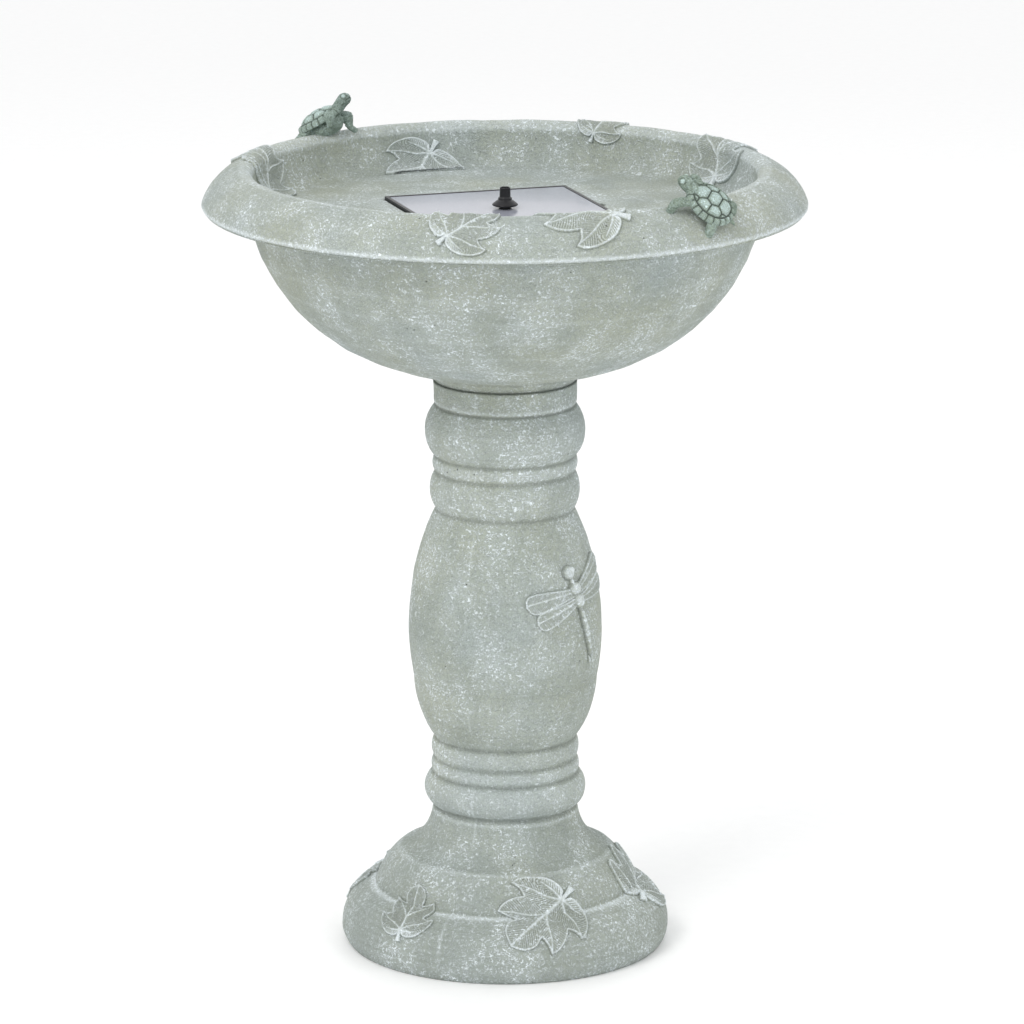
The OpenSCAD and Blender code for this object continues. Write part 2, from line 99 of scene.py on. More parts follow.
class Graph:
    """A material's node tree, with one short method for each kind of node used here."""

    def __init__(self, name):
        self.material = bpy.data.materials.new(name)
        self.material.use_nodes = True
        self.tree = self.material.node_tree
        self.shader = self.tree.nodes["Principled BSDF"]

    def add(self, kind, inputs=None, **settings):
        node = self.tree.nodes.new(kind)
        for key, value in settings.items():
            setattr(node, key, value)
        for key, value in (inputs or {}).items():
            self.feed(node.inputs[key], value)
        return node

    def feed(self, socket, value):
        if isinstance(value, bpy.types.NodeSocket):
            self.tree.links.new(value, socket)
        else:
            socket.default_value = value

    def place(self, stretch=(1, 1, 1)):
        here = self.add("ShaderNodeTexCoord").outputs["Object"]
        if stretch == (1, 1, 1):
            return here
        return self.add("ShaderNodeMapping", {"Vector": here, "Scale": stretch}).outputs[0]

    def attribute(self, name):
        return self.add("ShaderNodeAttribute", attribute_name=name).outputs["Fac"]

    def noise(self, place, scale, detail=4.0, rough=0.6, warp=0.0):
        return self.add("ShaderNodeTexNoise", {"Vector": place, "Scale": scale, "Detail": detail,
                                               "Roughness": rough, "Distortion": warp}).outputs[0]

    def cells(self, place, scale):
        return self.add("ShaderNodeTexVoronoi", {"Vector": place, "Scale": scale})

    def math(self, operation, a, b=0.0, c=0.0, clamp=False):
        node = self.add("ShaderNodeMath", {0: a, 1: b, 2: c}, operation=operation, use_clamp=clamp)
        return node.outputs[0]

    def step(self, value, low, high):
        """0 under low, 1 over high, smooth between."""
        node = self.add("ShaderNodeMapRange", {"Value": value, "From Min": low, "From Max": high},
                        interpolation_type="SMOOTHSTEP")
        return node.outputs[0]

    def ramp(self, value, stops):
        node = self.add("ShaderNodeValToRGB", {"Fac": value})
        ramp = node.color_ramp
        while len(ramp.elements) < len(stops):
            ramp.elements.new(0.5)
        for element, (at, colour) in zip(ramp.elements, stops):
            element.position = at
            element.color = (*colour, 1)
        return node.outputs[0]

    def mix(self, share, a, b):
        node = self.add("ShaderNodeMix", data_type="RGBA")
        self.feed(node.inputs[0], share)
        self.feed(node.inputs[6], a if isinstance(a, bpy.types.NodeSocket) else (*a, 1))
        self.feed(node.inputs[7], b if isinstance(b, bpy.types.NodeSocket) else (*b, 1))
        return node.outputs[2]

    def surface(self, colour, roughness, height=None, depth=0.0005, strength=1.0, **more):
        """Wires up the shader. depth is the bump's in metres, and more names inputs as specular_ior_level does."""
        self.feed(self.shader.inputs["Base Color"], colour)
        self.feed(self.shader.inputs["Roughness"], roughness)
        for key, value in more.items():
            self.shader.inputs[key.replace("_", " ").title().replace("Ior", "IOR")].default_value = value
        if height is not None:
            bump = self.add("ShaderNodeBump", {"Height": height, "Distance": depth, "Strength": strength})
            self.tree.links.new(bump.outputs[0], self.shader.inputs["Normal"])
        return self.material


def shade(colour, by):
    """A colour with each channel multiplied by its own number."""
    return tuple(channel * factor for channel, factor in zip(colour, by))


def darker(colour, by):
    return shade(colour, (by, by, by))


def stone_material(name, dark, light, wash, wash_amount, hollow_shade=0.5, scale=1.0):
    """Cast stone: a mottled body colour, short wrinkled strokes, and white paint dry-brushed over the high spots.
    The attribute "relief" is above 0 on edges and ribs, which take the paint, and under 0 in hollows, which get
    painted shade."""
    g = Graph(name)
    here = g.place()
    relief = g.attribute("relief")

    # Strokes run along the level lines of two warped noises, and are broken up by a third
    swirl = g.noise(g.place((1, 1, 1.5)), 120 * scale, detail=2, rough=0.55, warp=0.8)
    lines = g.math("SINE", g.math("MULTIPLY", swirl, 2 * math.pi * 7))
    fine_swirl = g.noise(g.place((1, 1, 1.3)), 300 * scale, detail=2, rough=0.5, warp=0.6)
    fine_lines = g.math("SINE", g.math("MULTIPLY", fine_swirl, 2 * math.pi * 4))
    broken = g.step(g.noise(here, 360 * scale, detail=3), 0.42, 0.55)
    stroke = g.math("MULTIPLY", g.step(g.math("MAXIMUM", lines, fine_lines), 0.50, 0.95), broken)
    grain = g.noise(here, 1000 * scale, detail=3, rough=0.6)
    broad = g.noise(here, 9, detail=3, rough=0.55)
    patch = g.noise(g.place((1, 1, 0.6)), 26, detail=5, rough=0.62)

    # The body: dark and light, warm and cool patches, painted shade darker near the ground, specked, and painted
    # shade in hollows
    body = g.mix(g.step(g.noise(here, 16, detail=5), 0.35, 0.65), dark, light)
    warm = g.mix(g.math("MULTIPLY", g.step(broad, 0.46, 0.66), 0.6), body, shade(light, (1.0, 0.965, 0.84)))
    cool = g.mix(g.math("MULTIPLY", g.step(broad, 0.50, 0.34), 0.55), warm, shade(light, (0.97, 1.01, 1.16)))
    # Painted shade: the body darker towards the ground, where less light falls
    low = g.step(g.add("ShaderNodeSeparateXYZ", {0: here}).outputs[2], 0.17, -0.01)
    shaded_near_ground = g.mix(g.math("MULTIPLY", low, 0.75), cool, darker(dark, 0.76))
    speck = g.mix(g.math("MULTIPLY", g.step(grain, 0.56, 0.42), 0.65), shaded_near_ground, darker(dark, 0.66))
    # Painted shade where relief is under 0: hollows, joints, recesses and the bands round raised ornaments
    hollow = g.math("MULTIPLY", relief, -1.0, clamp=True)
    shaded_hollows = g.mix(g.math("MULTIPLY", hollow, hollow_shade), speck, darker(dark, 0.30))

    # The paint's cover: strokes where it is worn in, a thin veil, and edges; little of it in hollows
    worn = g.step(patch, 0.40, 0.68)
    edge = g.math("MULTIPLY", relief, g.math("MULTIPLY_ADD", broken, 0.45, 0.55), clamp=True)
    cover = g.math("MULTIPLY", stroke, g.math("MULTIPLY_ADD", worn, 0.62, 0.38))
    cover = g.math("MULTIPLY_ADD", worn, 0.07, cover)
    cover = g.math("MULTIPLY_ADD", edge, 0.80, cover)
    cover = g.math("MULTIPLY", cover, g.math("SUBTRACT", 1.0, g.math("MULTIPLY", hollow, 0.8)))
    brushed = g.math("MULTIPLY", cover, wash_amount, clamp=True)
    painted = g.mix(brushed, shaded_hollows, wash)

    # A few small air holes, painted near black as the shade inside them
    holes = g.cells(here, 150).outputs[0]
    rare = g.step(g.noise(here, 31, detail=2), 0.60, 0.66)
    pit = g.math("MULTIPLY", g.math("SUBTRACT", 1.0, g.step(holes, 0.07, 0.13)), rare)
    colour = g.mix(pit, painted, darker(dark, 0.15))

    height = g.math("MULTIPLY_ADD", stroke, 0.55, g.math("MULTIPLY", grain, 0.28))
    height = g.math("MULTIPLY_ADD", swirl, 0.9, height)
    height = g.math("MULTIPLY_ADD", pit, -1.4, height)
    rough = g.math("MULTIPLY_ADD", grain, 0.12, 0.80)
    return g.surface(colour, rough, height, depth=0.0011, strength=0.9, specular_ior_level=0.3)


def plastic_material(name, colour, roughness):
    """Moulded plastic: a fine spark-eroded grain, faint flow marks and slightly uneven gloss."""
    g = Graph(name)
    grain = g.noise(g.place(), 1800, detail=2)
    flow = g.noise(g.place((1, 1, 3)), 45, detail=3)
    paler = tuple(min(1, channel * 1.25 + 0.004) for channel in colour)
    tone = g.mix(g.step(flow, 0.35, 0.65), darker(colour, 0.85), paler)
    rough = g.math("MULTIPLY_ADD", flow, 0.16, roughness - 0.08)
    return g.surface(tone, rough, grain, depth=0.00006, strength=0.6, specular_ior_level=0.3)


def metal_material(name, colour, roughness):
    """Turned steel: fine rings round its length, and small stains."""
    g = Graph(name)
    lines = g.noise(g.place((1, 1, 9)), 900, detail=2)
    stain = g.noise(g.place(), 160, detail=4)
    tone = g.mix(g.step(stain, 0.4, 0.7), darker(colour, 0.8), colour)
    rough = g.math("MULTIPLY_ADD", lines, 0.2, roughness - 0.1)
    return g.surface(tone, rough, lines, depth=0.00004, metallic=1.0)


def foam_material(name, colour):
    """Open-cell filter foam."""
    g = Graph(name)
    cell = g.cells(g.place(), 700).outputs[0]
    tone = g.mix(g.step(cell, 0.1, 0.5), darker(colour, 0.3), colour)
    return g.surface(tone, 0.95, cell, depth=0.0008)


def winding_material(name):
    """Copper wire laid in turns and potted in clear resin."""
    g = Graph(name)
    turns = g.add("ShaderNodeTexWave", {"Vector": g.place(), "Scale": 420, "Distortion": 0.6},
                  bands_direction="DIAGONAL").outputs["Fac"]
    tone = g.mix(turns, (0.20, 0.07, 0.03), (0.62, 0.27, 0.10))
    return g.surface(tone, 0.35, turns, depth=0.0002, coat_weight=0.8)


def panel_place(g):
    """The object's own coordinates turned so that X and Y run along the panel's sides."""
    return g.add("ShaderNodeMapping", {"Vector": g.place(), "Rotation": (0, 0, PANEL_TURN)},
                 vector_type="TEXTURE").outputs[0]


def glass_material(name):
    """The panel's cover glass: painted pale lilac, a painted reflection of the pale surroundings over the dark
    cells, with the cells' gaps just showing through.
    """
    g = Graph(name)
    across = g.add("ShaderNodeSeparateXYZ", {0: panel_place(g)}).outputs[1]
    rows = 6
    pitch = PANEL_SIDE * 0.93 / rows
    wave = g.math("ABSOLUTE", g.math("SUBTRACT", g.math("FRACT", g.math("DIVIDE", across, pitch)), 0.5))
    gap = g.step(wave, 0.462, 0.485)
    reflection_mottle = g.noise(g.place(), 26, detail=4)
    dust = g.noise(g.place(), 900, detail=3)
    # Painted reflection: the glass's pale lilac colour, slightly mottled
    tone = g.ramp(reflection_mottle, [(0.3, (0.335, 0.35, 0.41)), (0.7, (0.36, 0.375, 0.435))])
    tone = g.mix(g.math("MULTIPLY", gap, 0.10), tone, (0.30, 0.32, 0.40))
    tone = g.mix(g.math("MULTIPLY", g.step(dust, 0.60, 0.75), 0.10), tone, (0.75, 0.76, 0.78))
    rough = g.math("MULTIPLY_ADD", g.step(dust, 0.55, 0.75), 0.18, 0.16)
    return g.surface(tone, rough, dust, depth=0.00002, ior=1.5, coat_weight=0.3, coat_roughness=0.06)


def cell_material(name):
    """Silicon cells: dark blue with fine silver fingers."""
    g = Graph(name)
    along = g.add("ShaderNodeSeparateXYZ", {0: panel_place(g)}).outputs[0]
    fingers_per_metre = 500
    place = g.math("FRACT", g.math("MULTIPLY", along, fingers_per_metre))
    finger = g.math("ABSOLUTE", g.math("SUBTRACT", place, 0.5))
    crystal = g.add("ShaderNodeRGBToBW", {0: g.cells(g.place(), 150).outputs["Color"]}).outputs[0]
    tone = g.mix(g.math("MULTIPLY", crystal, 0.5), (0.012, 0.02, 0.075), (0.03, 0.055, 0.16))
    tone = g.mix(g.step(finger, 0.44, 0.48), tone, (0.45, 0.46, 0.48))
    return g.surface(tone, 0.3, finger, depth=0.00003, coat_weight=0.4)


def board_material(name):
    """Glass-fibre board: a woven green laminate."""
    g = Graph(name)
    split = g.add("ShaderNodeSeparateXYZ", {0: panel_place(g)})
    warp, weft = (g.math("SINE", g.math("MULTIPLY", split.outputs[i], 5200)) for i in (0, 1))
    weave = g.math("MULTIPLY", warp, weft)
    tone = g.mix(g.step(weave, -0.6, 0.6), (0.02, 0.085, 0.045), (0.035, 0.13, 0.07))
    return g.surface(tone, 0.4, weave, depth=0.00004)


# ---------------------------------------------------------------- shapes

def seam_walk(node, start, second, stop=None):
    """A turned node's outline as (radius, height) points, read along its mesh's edges at azimuth 90 degrees from
    the corner nearest start towards the one nearest second, both in mm, until stop says so or it comes round."""
    mesh = nodes[node].data
    on_plane = 0.03 * MM
    place = {v.index: (round(v.co.x, 5), round(v.co.z, 5)) for v in mesh.vertices
             if abs(v.co.y) < on_plane and v.co.x > 0}
    links = defaultdict(set)
    for edge in mesh.edges:
        a, b = edge.vertices
        if a in place and b in place and place[a] != place[b]:
            links[place[a]].add(place[b])
            links[place[b]].add(place[a])

    def nearest(target):
        return min(links, key=lambda p: math.hypot(p[0] - target[0] * MM, p[1] - target[1] * MM))

    path = [nearest(start), nearest(second)]
    while stop is None or not stop(path[-1]):
        ahead = [p for p in links[path[-1]] if p != path[-2]]
        if not ahead or ahead[0] == path[0]:
            break
        path.append(ahead[0])
    return np.array(path)


def along_path(path):
    return np.concatenate([[0], np.cumsum(np.hypot(*np.diff(path, axis=0).T))])


def resample(path, step):
    """Points at an even step along a path of (radius, height)."""
    along = along_path(path)
    t = np.linspace(0, along[-1], max(2, int(round(along[-1] / step))) + 1)
    return np.column_stack([np.interp(t, along, path[:, i]) for i in (0, 1)])


def soften(path, radius):
    """A path with its corners rounded over about the given radius and its ends kept, at a fine step."""
    step = 0.25 * MM
    fine = resample(path, step)
    reach = int(4 * radius / step)
    kernel = np.exp(-0.5 * (np.arange(-reach, reach + 1) * step / radius) ** 2)
    kernel /= kernel.sum()
    padded = np.concatenate([2 * fine[0] - fine[reach:0:-1], fine, 2 * fine[-1] - fine[-2:-reach - 2:-1]])
    return np.column_stack([np.convolve(padded[:, i], kernel, "valid") for i in (0, 1)])


class Surface:
    """A turned surface, from its outline walked with the casting on its left."""

    def __init__(self, path):
        self.path = path
        self.along = along_path(path)
        d = np.gradient(path, axis=0)
        d /= np.hypot(*d.T)[:, None]
        self.normals = np.column_stack([d[:, 1], -d[:, 0]])

    def at(self, s):
        """Radius, height and outward normal at a length s along the outline."""
        r, z, nr, nz = (np.interp(s, self.along, c) for c in (*self.path.T, *self.normals.T))
        length = np.hypot(nr, nz)
        return r, z, nr / length, nz / length

    def length_near(self, r, z):
        return float(self.along[np.argmin(np.hypot(self.path[:, 0] - r, self.path[:, 1] - z))])

    def bend(self, spread):
        """How far the outline turns within a spread of it: over 0 on outside edges and under 0 in hollows."""
        angle = np.unwrap(np.arctan2(*np.gradient(self.path, axis=0).T[::-1]))
        step = self.along[-1] / (len(self.along) - 1)
        kernel = np.hanning(2 * max(1, int(spread / step)) + 3)
        return np.convolve(np.gradient(angle) / step, kernel / kernel.sum(), "same") * spread


MERGE_DISTANCE = 2e-6


def mesh_object(name, points, faces, body, material, attributes=None):
    """A smooth-shaded object that rides on a CAD body, with its doubled points merged."""
    mesh = bpy.data.meshes.new(name)
    mesh.from_pydata([tuple(p) for p in points], [], [tuple(map(int, f)) for f in faces])
    for key, values in (attributes or {}).items():
        mesh.attributes.new(key, "FLOAT", "POINT").data.foreach_set("value", np.asarray(values, np.float32))
    work = bmesh.new()
    work.from_mesh(mesh)
    bmesh.ops.remove_doubles(work, verts=work.verts, dist=MERGE_DISTANCE)
    bmesh.ops.recalc_face_normals(work, faces=work.faces)
    work.to_mesh(mesh)
    work.free()
    mesh.polygons.foreach_set("use_smooth", [True] * len(mesh.polygons))
    mesh.materials.append(material)
    obj = bpy.data.objects.new(name, mesh)
    bpy.context.scene.collection.objects.link(obj)
    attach(obj, body)
    return obj


def ring_faces(rows, columns):
    """Quads between rows of points that each go once round, the last row joined to the first."""
    a = np.arange(rows)[:, None]
    b = np.arange(columns)[None, :]
    a2, b2 = (a + 1) % rows, (b + 1) % columns
    corners = [a * columns + b, a * columns + b2, a2 * columns + b2, a2 * columns + b]
    return np.stack(corners, -1).reshape(-1, 4)


def unevenness(points, size, depth, seed):
    """Smooth random heights at points, for a hand-finished surface."""
    offset = Vector((seed * 7.31, seed * 3.17, seed * 5.71))
    return np.array([noise.noise(Vector(p) / size + offset) for p in points]) * depth


def smooth(low, high, x):
    t = np.clip((x - low) / (high - low), 0, 1)
    return t * t * (3 - 2 * t)


# ---------------------------------------------------------------- turned castings

SEGMENTS = 600
ANGLES = PANEL_TURN + np.linspace(0, 2 * math.pi, SEGMENTS, endpoint=False)


def spin(path):
    """Rings of points round Z, one for each (radius, height)."""
    r, z = path[:, 0][:, None], path[:, 1][:, None]
    return np.stack([r * np.sin(ANGLES), -r * np.cos(ANGLES), z + 0 * ANGLES], -1)


def casting(name, node, body, fine, inside, seed, mould_seam=None, marks=(), loops=(), loop_tones=()):
    """A turned casting: a fine, slightly uneven outside with its mould seam, any loops of other shape, and a plain
    inside that leads back to the start. marks are (height in mm, width, tone) of rings brushed pale or, with tone
    under 0, given painted shade."""
    row_pitch, edge_spread, seam_width, seam_height = 1.5 * MM, 3.0 * MM, 1.0 * MM, 0.30
    whole = Surface(fine)
    count = max(2, int(whole.along[-1] / row_pitch))
    take = np.unique(np.searchsorted(whole.along, np.linspace(0, whole.along[-1], count)).clip(0, len(fine) - 1))
    surface = Surface(fine[take])
    # Relief over 0 on outside edges takes the paint; under 0 in hollows it gives painted shade
    relief = np.clip(whole.bend(edge_spread)[take], -1, 1)[:, None] + np.zeros(SEGMENTS)
    for height, width, tone in marks:
        share = np.exp(-((surface.path[:, 1] / MM - height) / width) ** 2)[:, None]
        relief = relief * (1 - share) + tone * share
    rings = spin(surface.path)
    flat = rings.reshape(-1, 3)
    rise = unevenness(flat, 34 * MM, 0.65 * MM, seed) + unevenness(flat, 11 * MM, 0.24 * MM, seed + 1)
    rise = rise.reshape(len(take), SEGMENTS)
    ends = smooth(0, 5 * MM, np.minimum(surface.along, surface.along[-1] - surface.along))[:, None]
    if mould_seam is not None:
        for side in (0, math.pi):
            off = np.abs((ANGLES - mould_seam - side + math.pi) % (2 * math.pi) - math.pi)
            ridge = np.exp(-(off[None, :] * surface.path[:, 0][:, None] / seam_width) ** 2)
            faint = smooth(-0.25, 0.35, unevenness(flat, 40 * MM, 1.0, seed + 5)).reshape(rise.shape)
            rise = rise + ridge * faint * seam_height * MM
            relief = relief + ridge * faint * 0.45
    nr, nz = surface.normals[:, 0][:, None], surface.normals[:, 1][:, None]
    out = np.stack([nr * np.sin(ANGLES), -nr * np.cos(ANGLES), nz + 0 * ANGLES], -1)
    rows = [*(rings + out * (rise * ends)[..., None]), *loops, *spin(inside)]
    tones = [*relief, *[np.full(SEGMENTS, tone) for tone in loop_tones]]
    tones += [np.zeros(SEGMENTS)] * (len(rows) - len(tones))
    obj = mesh_object(name, np.concatenate(rows), ring_faces(len(rows), SEGMENTS), body,
                      STONE, {"relief": np.concatenate(tones)})
    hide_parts(node)
    return whole


def outline_loop(radii, z):
    """A level ring of points with its own radius at each of the angles."""
    return np.stack([radii * np.sin(ANGLES), -radii * np.cos(ANGLES), z + 0 * ANGLES], -1)


def square_radii(half):
    """A square with the given half side, turned as the panel is."""
    turned = ANGLES - PANEL_TURN
    return half / np.maximum(np.abs(np.sin(turned)), np.abs(np.cos(turned)))


def notched_radii(half, notch):
    """The panel recess's outline: a square with a round finger notch at the middle of two sides."""
    turned = ANGLES - PANEL_TURN
    square = square_radii(half)
    along, across = np.abs(np.sin(turned)) * half, np.cos(turned) * half
    inside = notch ** 2 - across ** 2
    return np.where(inside > 0, np.maximum(square, along + np.sqrt(np.maximum(inside, 0))), square)


# ---------------------------------------------------------------- ornaments laid on a turned surface

def curve(points, steps=8):
    """A smooth line through points (a Catmull-Rom spline)."""
    p = np.array([2 * np.array(points[0]) - points[1], *points, 2 * np.array(points[-1]) - points[-2]], float)
    t = np.linspace(0, 1, steps, endpoint=False)[:, None]
    parts = [0.5 * (2 * b + (c - a) * t + (2 * a - 5 * b + 4 * c - d) * t ** 2
                    + (3 * b - a - 3 * c + d) * t ** 3)
             for a, b, c, d in zip(p, p[1:], p[2:], p[3:])]
    return np.concatenate([*parts, p[-2:-1]])


FAR = 1e9


def to_line(x, y, line):
    """From each point, the distance to a line and how far along it that is."""
    best = np.full(x.shape, FAR)
    where = np.zeros(x.shape)
    along = along_path(line)
    for (ax, ay), (bx, by), start in zip(line, line[1:], along):
        dx, dy = bx - ax, by - ay
        length = max(math.hypot(dx, dy), 1e-9)
        t = np.clip(((x - ax) * dx + (y - ay) * dy) / length ** 2, 0, 1)
        off = np.hypot(x - ax - t * dx, y - ay - t * dy)
        near = off < best
        best = np.where(near, off, best)
        where = np.where(near, start + t * length, where)
    return best, where


def depth_inside(x, y, outline):
    """Distance inside a closed outline, under 0 outside it."""
    closed = np.concatenate([outline, outline[:1]])
    inside = np.zeros(x.shape, bool)
    for (ax, ay), (bx, by) in zip(closed, closed[1:]):
        crosses = (ay > y) != (by > y)
        inside ^= crosses & (x < (bx - ax) * (y - ay) / (by - ay if by != ay else 1) + ax)
    return np.where(inside, 1, -1) * to_line(x, y, closed)[0]


def laid(name, node, body, surface, place, roll, x, y, height, relief, keep):
    """A height field over a grid of (x, y) laid on a turned surface, closed underneath. place is the azimuth in
    degrees and the length along the outline. keep marks the grid points that are used."""
    sunk = 1.2 * MM
    azimuth, start = math.radians(place[0]), place[1]
    c, s = math.cos(math.radians(roll)), math.sin(math.radians(roll))
    r, z, nr, nz = surface.at(start + x * s + y * c)
    turn = azimuth + (x * c - y * s) / r

    def shell(h):
        return np.stack([(r + nr * h) * np.sin(turn), -(r + nr * h) * np.cos(turn), z + nz * h], -1)

    used = keep[:-1, :-1] & keep[1:, :-1] & keep[:-1, 1:] & keep[1:, 1:]
    number = np.arange(x.size).reshape(x.shape)
    quads = np.stack([number[:-1, :-1], number[:-1, 1:], number[1:, 1:], number[1:, :-1]], -1)[used]
    edges = defaultdict(int)
    for quad in quads:
        for a, b in zip(quad, np.roll(quad, -1)):
            edges[(a, b)] += 1
    rim = [(a, b) for a, b in edges if (b, a) not in edges]
    top, under = shell(height).reshape(-1, 3), shell(np.minimum(height, 0) - sunk).reshape(-1, 3)
    below = x.size
    faces = [*quads, *(quads[:, ::-1] + below), *[(b, a, a + below, b + below) for a, b in rim]]
    picked = np.unique(np.concatenate([np.ravel(f) for f in faces]))
    index = np.full(2 * x.size, -1)
    index[picked] = np.arange(len(picked))
    tones = np.concatenate([relief.ravel(), np.zeros(x.size)])[picked]
    obj = mesh_object(name, np.concatenate([top, under])[picked], [index[list(f)] for f in faces], body,
                      STONE, {"relief": tones})
    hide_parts(node)


# The leaf's right half, where its blade runs from the stalk's end at (0, 0) to the tip at (0, 1)
LEAF_EDGE = [
    [(0.050, -0.21), (0.030, -0.11), (0.024, -0.03)],
    [(0.024, -0.03), (0.07, -0.105), (0.18, -0.125), (0.34, -0.09), (0.50, 0.04), (0.58, 0.17), (0.59, 0.28)],
    [(0.59, 0.28), (0.48, 0.265), (0.37, 0.30)],
    [(0.37, 0.30), (0.435, 0.42), (0.465, 0.57), (0.44, 0.70)],
    [(0.44, 0.70), (0.32, 0.645), (0.20, 0.62)],
    [(0.20, 0.62), (0.225, 0.77), (0.155, 0.91), (0.0, 1.0)]]
LEAF_WIDTH = 1.22
LEAF_MIDDLE = 0.36


def leaf(name, body, surface, azimuth, start, roll, width, curl):
    """A five-lobed leaf in low relief: raised rim, veins, fine slanting veins between them. It is drawn for a
    blade with a length of 1, with its heights in mm."""
    size = width * MM / LEAF_WIDTH
    step = 0.5 * MM / size
    half = np.concatenate([curve(part)[:-1] for part in LEAF_EDGE])
    outline = np.concatenate([half, [(0, 1.0)], half[::-1] * (-1, 1)])
    x, y = np.meshgrid(np.arange(-0.64, 0.64, step), np.arange(-0.26, 1.06, step))
    # A slight bend across, so that no two leaves are alike
    bent = x - curl * np.sin(2.6 * (y - 0.2))
    veins = [curve([(0, -0.20), (0.012, 0.2), (-0.008, 0.6), (0, 0.97)])]
    for side in (-1, 1):
        veins.append(curve([(0, 0.0), (side * 0.17, 0.10), (side * 0.37, 0.165), (side * 0.57, 0.265)]))
        veins.append(curve([(0, 0.27), (side * 0.13, 0.42), (side * 0.29, 0.545), (side * 0.43, 0.68)]))
        veins.append(curve([(0, 0.0), (side * 0.16, -0.015), (side * 0.36, 0.0)]))
    inner = depth_inside(bent, y, outline)
    near = np.full(x.shape, FAR)
    ribs = np.zeros(x.shape)
    phase = np.zeros(x.shape)
    for i, vein in enumerate(veins):
        off, along = to_line(bent, y, vein)
        thick = (0.026 if i == 0 else 0.015) * (1.15 - 0.75 * along / along.max())
        ribs = np.maximum(ribs, np.exp(-(off / thick) ** 2))
        closer = off < near
        near = np.where(closer, off, near)
        phase = np.where(closer, along - 0.95 * off, phase)
    fine_pitch = 0.036
    fine = np.cos(phase / fine_pitch * 2 * math.pi)
    fine *= smooth(0.012, 0.04, near) * smooth(0.018, 0.04, inner)
    rim = np.exp(-((inner - 0.012) / 0.012) ** 2)
    stalk = smooth(0.0, -0.06, y)
    cup = smooth(0.0, 0.22, inner)
    blade = 1.75 - 0.45 * cup + 0.70 * rim + 1.0 * ribs + 0.24 * fine + 0.6 * stalk
    wall = smooth(-0.014, 0.006, inner)
    height = ((blade + 1.0) * wall - 1.0) * MM
    relief = 1.05 * rim + 1.1 * ribs + 0.70 * fine - 0.16 + 0.6 * stalk
    # A band of painted shadow just outside the leaf's edge, where it stands off the stone
    relief = relief * wall - 1.2 * smooth(0.001, -0.008, inner)
    laid(name + "_relief", name, body, surface, (azimuth, start), roll,
         x * size, (y - LEAF_MIDDLE) * size, height, np.clip(relief, -1, 1.2), inner > -0.030)


